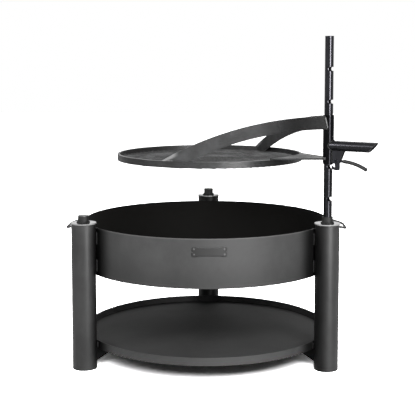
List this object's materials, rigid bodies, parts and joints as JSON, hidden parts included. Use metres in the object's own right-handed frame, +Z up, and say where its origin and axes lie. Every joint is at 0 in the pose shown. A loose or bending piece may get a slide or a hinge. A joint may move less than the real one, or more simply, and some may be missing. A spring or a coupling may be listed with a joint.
{
  "type": "fire pit",
  "caption": "Round steel fire bowl above a wood tray on tube legs, with a cooking grate on a swing arm that slides and latches on an upright post.",
  "frame": {"origin": "on the ground below the middle of the object's box; the bowl's axis is at X -0.0309, Y -0.0391", "axes": "+Z up, the front with the badge faces -Y, and the post is on the right at +X"},
  "size_m": [0.9838, 0.878, 1.04],
  "materials": {
    "satin_black": "satin heat-resistant paint",
    "black_steel": "smooth black",
    "raw_steel": "oiled mill scale",
    "black_plastic": "matte"
  },
  "bodies": {
    "frame": {"bowl_wall": "satin_black", "bowl_floor": "satin_black", "tray_rim": "satin_black", "tray_floor": "satin_black", "handle_left": "satin_black", "handle_right": "satin_black", "leg_post": "satin_black", "leg_back": "satin_black", "leg_left": "satin_black", "leg_cap_post": "satin_black", "leg_cap_back": "satin_black", "leg_cap_left": "satin_black", "socket_post": "satin_black", "socket_back": "satin_black", "socket_left": "satin_black", "socket_seat_post": "satin_black", "socket_seat_back": "satin_black", "socket_seat_left": "satin_black"},
    "post": {"post": "black_steel"},
    "arm": {"sleeve": "black_steel", "strap_front": "raw_steel", "strap_back": "raw_steel", "tie_plate": "raw_steel", "grate_ring": "raw_steel", "grate_bars": "raw_steel", "grip": "black_steel", "latch_cheeks": "black_steel", "latch_pin": "black_steel"},
    "latch": {"latch_pawl": "black_steel", "latch_lever": "black_steel"},
    "plug_back": {"socket_plug_back": "black_plastic"},
    "plug_left": {"socket_plug_left": "black_plastic"}
  },
  "joints": [
    {"name": "swing", "type": "hinge", "parent": "frame", "child": "post", "pos_m": [0.34843, -0.25807, 0.3677], "axis": [0, 0, 1], "continuous": true},
    {"name": "arm_height", "type": "slide", "parent": "post", "child": "arm", "axis": [0, 0, 1], "range_m": [-0.1, 0.3]},
    {"name": "latch_lever", "type": "hinge", "parent": "arm", "child": "latch", "pos_m": [0.37441, -0.27308, 0.66], "axis": [-0.5, -0.866, 0], "range_deg": [-8.24, 24]},
    {"name": "plug_back_lift", "type": "slide", "parent": "frame", "child": "plug_back", "axis": [0, 0, 1], "range_m": [0, 0.03]},
    {"name": "plug_left_lift", "type": "slide", "parent": "frame", "child": "plug_left", "axis": [0, 0, 1], "range_m": [0, 0.03]}
  ]
}
